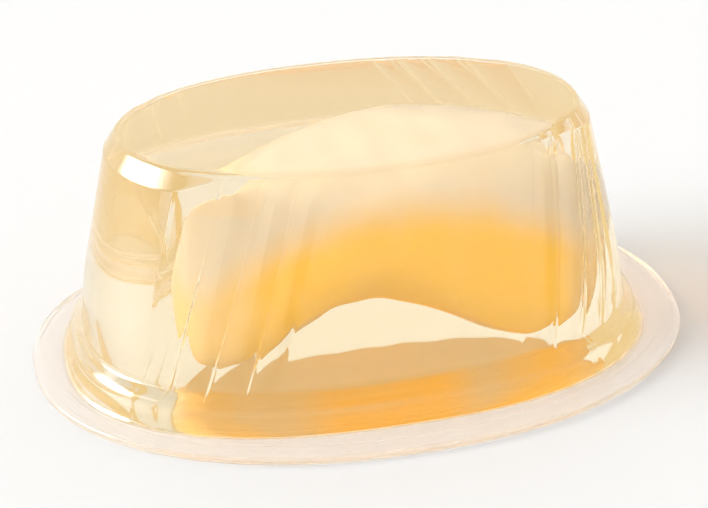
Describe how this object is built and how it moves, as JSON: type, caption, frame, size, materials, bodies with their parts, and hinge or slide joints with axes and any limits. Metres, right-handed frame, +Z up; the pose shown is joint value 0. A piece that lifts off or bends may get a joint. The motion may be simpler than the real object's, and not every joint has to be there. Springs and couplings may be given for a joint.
{
  "type": "fruit jelly",
  "caption": "Clear oval cup of pale amber jelly lying upside down on its flange and sealing film, with pleated corners and a flat top plate.",
  "frame": {"origin": "centre of the oval flange, on the surface that the sealing film lies on", "axes": "+X along the long axis towards the end with the wider rim, +Z up towards the top plate, and the shown side faces -Y"},
  "size_m": [0.104, 0.0756, 0.0382],
  "materials": {
    "film": "smooth clear film",
    "clear_plastic": "glossy clear",
    "jelly": "glossy wet"
  },
  "bodies": {
    "root": {"lid_film": "film", "cup": "clear_plastic", "jelly": "jelly"}
  },
  "joints": []
}
